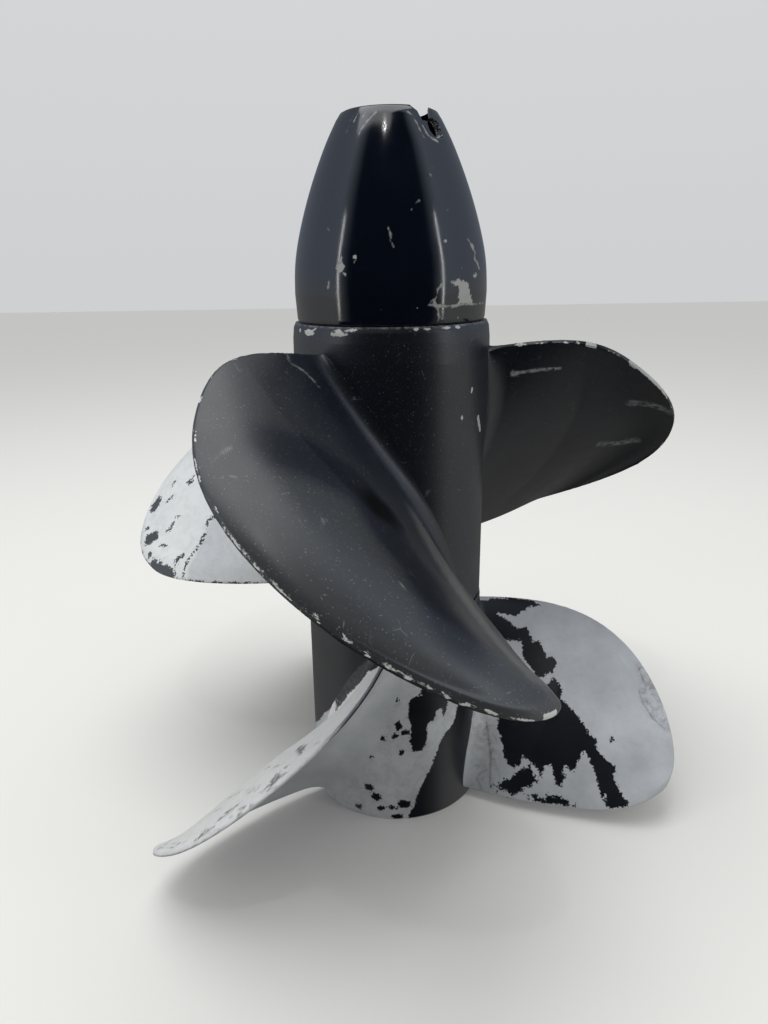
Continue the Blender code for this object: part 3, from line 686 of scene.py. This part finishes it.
def upper_paint_front(at, upside, gap, share):
    """Whole paint, chipped and worn through in a broken line along its edge, with thin scratches. It is painted paler
    outwards, leaving painted shade towards the root, with a painted highlight band by the root and a painted dark
    reflection in a patch and its trail."""
    bites = np.where(upside, edge_bites(at, gap, FRONT_EDGE_CHIPS), -9.0)
    worn = np.minimum(-bites, worn_edge(share, gap, 0.4, 21))
    # The patch and its trail are a painted dark reflection; greying paler outwards is painted light, leaving painted
    # shade by the root.
    dark_reflection = np.clip(patch(at, *FRONT_DARK_REFLECTION) / 7.0 + 0.45, 0.0, 1.0)
    dark_reflection_zone = np.maximum(dark_reflection, 0.8 * soft_stroke(at, 42.0, DARK_REFLECTION_TRAIL))
    painted_paler = 0.34 * np.clip((np.hypot(at[:, 0], at[:, 1]) - 75.0) / 70.0, 0.0, 1.0) * (1.0 - dark_reflection_zone)
    painted_paler = np.maximum(painted_paler, 0.9 * soft_stroke(at, 30.0, PAINTED_HIGHLIGHT_BAND))
    scratched = np.clip(most(stroke, at, FRONT_SCRATCHES) + 0.3, 0.0, 0.9)
    # The band's paler rubbing is also a painted highlight.
    rubbed = np.maximum(scratched, 0.55 * soft_stroke(at, 26.0, PAINTED_HIGHLIGHT_BAND))
    return {"paint": worn, "graze": np.where(upside, rubbed, 0.0),
            "soil": np.where(upside, 1.1 * dark_reflection - painted_paler * (1.0 - dark_reflection) + 0.3 * dark_reflection_zone * (1.0 - dark_reflection), 0.0)}


def upper_paint_right(at, upside, gap, share):
    """Whole paint, seen from below: the upper edge is worn to beige-grey metal, with a scratch and two soft rubs."""
    rubs = np.maximum(np.clip(most(stroke, at, UNDER_RUBS) / 4.0 + 0.3, 0.0, 0.55),
                      np.clip(2.5 * most(stroke, at, UNDER_SCRATCHES) + 0.7, 0.0, 1.8))
    return {"paint": np.minimum(-edge_bites(at, gap, UNDER_EDGE_CHIPS), worn_edge(share, gap, 0.5, 22)),
            "graze": np.where(upside, 0.0, rubs), "soil": np.zeros(len(at))}


STRIPPED_CASTING = painted_casting("stripped_enamel_on_aluminium", "#14171b", "#23272c", "#cfd1d1", "#bcbfc1",
                                   2.4, 0.3)


def upper_paint_left(at, upside, gap, share):
    """The upper face is stripped to pale metal past a torn border, with black scraps along its rim and one long
    crack of old paint; the face below keeps its paint."""
    scraps = np.maximum.reduce([most(patch, at, BARE_BLADE_BLACK), most(spot, at, BARE_BLADE_SPOTS),
                                stroke(at, 1.4, BARE_BLADE_CRACK), islands(at, *BARE_BLADE_SCRAPS),
                                WORN_LINE - gap, BARE_BLADE_FROM_R - np.hypot(at[:, 0], at[:, 1])])
    under = worn_edge(share, gap, 0.5, 23)
    inner = 0.5 * np.clip((at[:, 1] + 121.0) / 3.0, 0.0, 1.0) - 0.4
    return {"paint": np.where(upside, scraps, under), "graze": np.where(upside & (scraps < 0.0), 0.15, 0.0),
            "soil": np.where(upside, inner, 0.0)}


for number, paint_on, mat in ((1, upper_paint_front, UPPER_CASTING), (2, upper_paint_right, UPPER_CASTING),
                              (3, upper_paint_left, STRIPPED_CASTING)):
    edge = UPPER_EDGE_HIGH + UPPER_CORNERS[number - 1] + UPPER_EDGE_LOW
    add_blade(f"upper_blade_{number}", edge, UPPER_OUTER, UPPER_SECTION, BLADES_APART * (number - 1), paint_on,
              mat, "upper_propeller")


# Upper inner parts
# The same set as in the lower casting, for the larger outer shaft: three cast ribs, an inner hub, a moulded rubber
# bush pressed into it, and a splined brass sleeve.
dress_inner_parts("upper", UPPER_CASTING)


# Tail cone
# A hollow bullet moulded in black plastic with a high gloss, screwed onto the shaft's end by a cross bar through
# two holes at its tip. The wall has broken out above one hole, and rubs and knocks have dulled it.
CONE_OUTER = [(307.0, 53.6), (309.0, 54.3), (322.5, 55.1), (338.0, 54.3), (353.5, 51.4), (369.0, 47.0),
              (384.5, 41.5), (400.0, 34.9), (411.5, 28.9), (414.9, 26.6), (415.7, 25.0)]
CONE_CURVED = slice(2, 9)
CONE_WALL = 4.2
TIP_BORE_R = 21.2
DISC_LOW_Z = 314.0
DISC_HIGH_Z = 326.0
DISC_BORE_R = 17.0
CONE_AROUND = 400
CONE_RING_STEP = 0.85
BAR_HOLE_R = 5.3
BAR_HOLE_Z = 404.6
BAR_HOLE_DEG = 318.0
BAR_HOLE_SIDES = 40
BAR_REACH = 50.0
NOTCH_REACH = 45.0
CONE_CREASE_DEG = 35.0
CONE_FIELD_REACH = 5.0
NOTCH = [(8.0, 419.0), (11.5, 414.9), (14.6, 412.6), (16.1, 409.8), (17.3, 407.8), (19.8, 407.6), (20.7, 409.4),
         (20.7, 419.0)]


def gloss_plastic():
    """Moulded plastic in gloss black: a smooth dark body with clear reflections, dulled in clouds of 12 mm by fine
    rubbing, and pale where the scuff or scratch field, in mm, is above nothing. One pale spot just below the tip is a
    painted highlight."""
    mat, add, sockets, place = new_material("scuffed_gloss_black_plastic")
    scuff_and_highlight = add("Attribute", out="Fac", attribute_name="scuff_and_highlight")
    torn = add("TexNoise", waves(place, 2.0, 4.0, 0.7))
    torn = add("Math", (torn, 6.0, -3.2), **SCALED)
    rubbed = add("Math", (scuff_and_highlight, torn), operation="ADD")
    rubbed = add("Math", (rubbed, 3.0, 0.5), **CLIPPED)
    scratch = add("Attribute", out="Fac", attribute_name="scratch")
    broken = add("TexNoise", waves(place, 3.5, 3.0))
    broken = add("Math", (broken, 3.2, -2.0), **SCALED)
    scratch = add("Math", (scratch, broken), operation="ADD")
    scratch = add("Math", (scratch, 1.4, 0.5), **CLIPPED)
    scratch = add("Math", (scratch, 0.75), operation="MULTIPLY")
    rubbed = add("Math", (rubbed, scratch), operation="MAXIMUM")
    cloud = add("TexNoise", waves(place, 30.0, 5.0))
    tone = add("Mix", {0: cloud, 6: linear("#040810"), 7: linear("#0a101b")}, **COLOURS)
    dust = add("TexNoise", waves(place, 1.5, 1.0))
    dust = add("Math", (dust, 7.0, -5.3), **CLIPPED)
    for share, code in ((dust, "#3c3f43"), (rubbed, "#939390")):
        tone = add("Mix", {0: share, 6: tone, 7: linear(code)}, **COLOURS)
    film = add("TexNoise", waves(place, 12.0, 6.0, 0.65))
    film = add("Math", (film, 0.12, 0.06), **SCALED)
    rough = add("Math", (rubbed, 0.4, film), **SCALED)
    waver = add("TexNoise", waves(place, 9.0, 3.0))
    height = add("Math", (rubbed, -0.5, waver), **SCALED)
    bump = add("Bump", {"Strength": 0.18, "Distance": 0.0001, "Height": height})
    feed(sockets, {"Base Color": tone, "Roughness": rough, "Normal": bump})
    return mat


def cone_profile():
    """The outer curve is a spline through the stations between the lower step and the tip; the inner one follows it
    a wall's thickness in, with the disc that carries the threaded insert across its base."""
    z, r = np.array(CONE_OUTER).T
    stations = np.stack([r, z], -1)
    curved = stations[CONE_CURVED]
    body = smooth_curve(curved, np.linspace(0.0, 1.0, int((curved[-1, 1] - curved[0, 1]) / CONE_RING_STEP)))
    low = np.concatenate([z[:1], np.arange(z[1], curved[0, 1] - 0.5 * CONE_RING_STEP, CONE_RING_STEP)])
    foot = np.stack([np.interp(low, z, r), low], -1)
    tip = stations[CONE_CURVED.stop:]
    inner = body[::-6] - (CONE_WALL, 0.0)
    inner = inner[inner[:, 1] > DISC_HIGH_Z + 4.0]
    inner = inner[inner[:, 0] > TIP_BORE_R + 1.0]
    base = r[0] - CONE_WALL
    disc = [(base, DISC_HIGH_Z + 2.0), (base - 2.0, DISC_HIGH_Z), (DISC_BORE_R, DISC_HIGH_Z),
            (DISC_BORE_R, DISC_LOW_Z), (base, DISC_LOW_Z), (base, z[0])]
    return np.concatenate([foot, body, tip, [(TIP_BORE_R, z[-1])], inner, disc]) * MM


def cut_away(piece, tool):
    """Takes the tool's volume out of the piece and drops the tool."""
    step = piece.modifiers.new("cut", "BOOLEAN")
    step.operation = "DIFFERENCE"
    step.solver = "EXACT"
    step.object = tool
    bpy.context.view_layer.update()
    cut = bpy.data.meshes.new_from_object(piece.evaluated_get(bpy.context.evaluated_depsgraph_get()))
    piece.modifiers.remove(step)
    piece.data = cut
    bpy.data.objects.remove(tool, do_unlink=True)


def prism(name, corners, low, high, placed):
    """A closed prism: corners drawn in its own x and y, run from low to high along its z, then placed."""
    ring_points = np.array(corners, float)
    count = len(ring_points)
    flat = np.concatenate([np.column_stack([ring_points, np.full(count, end)]) for end in (low, high)])
    faces = [(k, (k + 1) % count, count + (k + 1) % count, count + k) for k in range(count)]
    faces += [tuple(range(count))[::-1], tuple(range(count, 2 * count))]
    mesh = bpy.data.meshes.new(name)
    mesh.from_pydata(placed(flat * MM).tolist(), [], faces)
    tool = bpy.data.objects.new(name, mesh)
    link(tool)
    return tool


CONE_SCRATCHES = [(1.5, [(-25.9, 399.8), (-24.5, 403.6), (-18.5, 408.3), (-11.6, 412.1), (-4.7, 413.4), (6.7, 414),
                         (17, 413), (23, 410), (26, 406), (28, 402), (29.6, 399)]),
                  (1.3, [(-30.8, 414.5), (-34.4, 408)]), (1.3, [(-22, 414.2), (-25.2, 409.6)]),
                  (1.1, [(-36.8, 413.8), (-39.6, 408.5)]), (1.2, [(-38.3, 405.4), (-39.8, 402.6)]),
                  (1.9, [(-34.7, 330), (-35.5, 326.5)]), (1.6, [(-1.1, 355.7), (0, 352.8), (0.5, 350.4)]),
                  (1.3, [(-0.1, 349.4), (1.5, 346.5)]), (1.4, [(26.7, 382), (29.3, 380.3)]),
                  (1.1, [(-38, 356), (-36.2, 354.6)]), (1.1, [(12.3, 363.6), (15, 366.5), (17.6, 368)]),
                  (2.4, [(49.3, 350), (51.6, 348), (54.3, 346), (55.8, 343), (54.5, 340), (57.1, 338), (59.3, 335)]),
                  (1.7, [(20.5, 317.4), (26.9, 316.8), (36.9, 316.4), (44.7, 317), (54.8, 316.5), (70, 316.3)]),
                  (1.6, [(27.9, 327.7), (25.5, 324.8), (24.3, 320.8), (20.9, 318.9)]),
                  (1.8, [(23.2, 319.4), (24.5, 316.8), (25.8, 314.7), (26.6, 310.6), (26, 309)]),
                  (1.2, [(42.1, 336), (39.4, 329.4), (39.9, 316.7), (39.7, 310)]),
                  (1.8, [(31.4, 404.8), (33.8, 400.6), (38.5, 398.4), (43.5, 398.0)])]
# The pale knock just below the tip, at -4.1 mm and 403.9 mm, is a painted highlight.
CONE_KNOCKS_AND_HIGHLIGHT = [(-27.5, 336.6, 5.2, 5.0), (-27.2, 340.2, 1.6, 4), (-25, 333.4, 2, 2), (-19.2, 341.6, 2, 3),
               (54.3, 331.6, 3.5, 2.6), (32.1, 348.7, 1.4, 1.4), (36.9, 363.9, 1.3, 1.3), (-4.1, 403.9, 2.2, 2.2),
               (14, 316.5, 1.2, 1.2)]
CONE_GOUGE = [(33, 328.6), (38.7, 330), (42, 329), (46.4, 328.2), (48.6, 324), (50, 320.4), (52.5, 317),
              (39.5, 317), (39, 321.3), (39.6, 325.6), (36, 327)]


def cone_scuffs_and_highlight(at):
    """Small knocks and the gouge over the seam on the right, with seeded marks round the back. The knock just below
    the tip is a painted highlight.
    """
    return np.maximum.reduce([most(spot, at, CONE_KNOCKS_AND_HIGHLIGHT), patch(at, *CONE_GOUGE),
                              islands(at, (80.0, 312.0), (175.0, 400.0), 7, 3.0, 14),
                              islands(at, (-175.0, 312.0), (-80.0, 400.0), 6, 3.0, 15)])


profile = cone_profile()
points = turned(profile, CONE_AROUND).reshape(-1, 3)
at = hub_places(points)
outside = np.tile(np.arange(len(profile)) <= int(np.argmax(profile[:, 1] >= CONE_OUTER[-1][0] * MM)), CONE_AROUND)
marks = {key: np.clip(np.where(outside, values, -CONE_FIELD_REACH), -CONE_FIELD_REACH, CONE_FIELD_REACH)
         for key, values in (("scuff_and_highlight", cone_scuffs_and_highlight(at)), ("scratch", most(stroke, at, CONE_SCRATCHES)))}
cone = add_piece("tail_cone_moulding", points, wrap_faces(CONE_AROUND, len(profile), True, True), marks,
                 gloss_plastic(), "upper_propeller", ["tail_cone"])
turn = np.linspace(0.0, 2.0 * np.pi, BAR_HOLE_SIDES, endpoint=False)
hole_round = np.stack([BAR_HOLE_R * np.cos(turn), BAR_HOLE_R * np.sin(turn)], -1)
aim = math.radians(BAR_HOLE_DEG)
hole_axes = np.array([(-math.sin(aim), math.cos(aim), 0.0), (0.0, 0.0, 1.0), (math.cos(aim), math.sin(aim), 0.0)])
cut_away(cone, prism("bar_hole", hole_round, -BAR_REACH, BAR_REACH,
                     lambda p: p @ hole_axes + (0.0, 0.0, BAR_HOLE_Z * MM)))
notch_axes = np.array([(1.0, 0.0, 0.0), (0.0, 0.0, 1.0), (0.0, -1.0, 0.0)])
cut_away(cone, prism("notch", NOTCH, 0.0, NOTCH_REACH, lambda p: p @ notch_axes))
cone.data.shade_smooth()
cone.data.set_sharp_from_angle(angle=math.radians(CONE_CREASE_DEG))


# Thread insert
# A machined brass ring moulded into the cone's disc. It takes the thread at the shaft's end, and so holds the cone
# down on the upper hub.
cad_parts["cone_thread_insert"].data.materials[0] = brass


# Stage and light
# A plain pale floor, matt so that it stays even to its far end, under soft overhead light. The surroundings that the
# gloss reflects are pale at the sides and dim in front.
FLOOR_HALF = 6.0
FLOOR_HEX = "#e1e0dc"
floor_mesh = bpy.data.meshes.new("floor")
floor_mesh.from_pydata([(-FLOOR_HALF, -FLOOR_HALF, 0), (FLOOR_HALF, -FLOOR_HALF, 0), (FLOOR_HALF, FLOOR_HALF, 0),
                        (-FLOOR_HALF, FLOOR_HALF, 0)], [], [(0, 1, 2, 3)])
floor = bpy.data.objects.new("floor", floor_mesh)
link(floor)
floor_mat, add, sockets, place = new_material("pale_table")
feed(sockets, {"Base Color": linear(FLOOR_HEX), "Roughness": 0.9, "Specular IOR Level": 0.0})
floor_mesh.materials.append(floor_mat)
floor.visible_glossy = False

world = bpy.data.worlds.new("studio")
bpy.context.scene.world = world
world.use_nodes = True
add = partial(add_node, world.node_tree)
way = add("TexCoord", out="Generated")
along = add("SeparateXYZ", (way,), "Y")
upwards = add("SeparateXYZ", (way,), "Z")
flat = add("VectorMath", (way, (1.0, 1.0, 0.0)), operation="MULTIPLY")
flat = add("VectorMath", (flat,), "Value", operation="LENGTH")
front = add("Math", (along, -1.0), operation="MULTIPLY")
front = add("Math", (front, flat), operation="DIVIDE")
bright = add("Math", (front, -3.0, 1.95), **CLIPPED)
ceiling = add("Math", (upwards, 10.0, -9.2), **CLIPPED)
ceiling = add("Math", (ceiling, 0.58), operation="MULTIPLY")
bright = add("Math", (bright, ceiling), operation="MAXIMUM")
nearer = add("Math", (front, 1.0, 1.25), **SCALED)
sunk = add("Math", (upwards, 0.55, 1.0), **CLIPPED)
gloss_light = add("Math", (bright, nearer), operation="MULTIPLY")
gloss_light = add("Math", (gloss_light, sunk), operation="MULTIPLY")
soft_light = add("Math", (upwards, 0.0), operation="MAXIMUM")
soft_light = add("Math", (soft_light, 0.62, 0.40), **SCALED)
seen = add("LightPath", out="Is Camera Ray")
glossy = add("LightPath", out="Is Glossy Ray")
strength = add("Mix", {0: glossy, 2: soft_light, 3: gloss_light})
backdrop = add("Math", (upwards, 3.0), **PRODUCT)
backdrop = add("Math", (backdrop, 0.05, 0.69), **SCALED)
strength = add("Mix", {0: seen, 2: strength, 3: backdrop})
under = add("Math", (upwards, -6.0, 0.5), **CLIPPED)
tint = add("Mix", {0: under, 6: linear("#cbd7ea"), 7: linear("#d4d3d0")}, **COLOURS)
tint = add("Mix", {0: glossy, 6: linear("#f3f5f7"), 7: tint}, **COLOURS)
feed(world.node_tree.nodes["Background"].inputs, {"Color": tint, "Strength": strength})


def add_lamp(name, place, aim_at, wide, high, watts):
    """A flat lamp whose face looks at a point."""
    lamp = bpy.data.objects.new(name, bpy.data.lights.new(name, "AREA"))
    lamp.data.shape = "RECTANGLE"
    lamp.data.size = wide
    lamp.data.size_y = high
    lamp.data.energy = watts
    back = np.array(place, float) - np.array(aim_at, float)
    back /= np.linalg.norm(back)
    side = np.cross((0.0, 0.0, 1.0), back)
    side = side / np.linalg.norm(side) if np.linalg.norm(side) > 1e-6 else np.array([1.0, 0.0, 0.0])
    lift = np.cross(back, side)
    lamp.matrix_world = Matrix([[side[k], lift[k], back[k], place[k]] for k in range(3)] + [[0.0, 0.0, 0.0, 1.0]])
    link(lamp)


add_lamp("overhead", (-0.2, 0.1, 1.7), (0.0, 0.0, 0.1), 1.4, 1.2, 13.0)
add_lamp("ceiling_lamp", (-0.12, -0.57, 1.47), (0.0, 0.0, 0.40), 0.045, 0.045, 0.8)
add_lamp("strip_left", (-1.06, -0.56, 0.55), (0.0, 0.0, 0.3), 0.035, 0.9, 1.3)
add_lamp("strip_right", (1.06, -0.56, 0.55), (0.0, 0.0, 0.3), 0.035, 0.9, 1.3)
bpy.context.scene.view_settings.view_transform = "Standard"
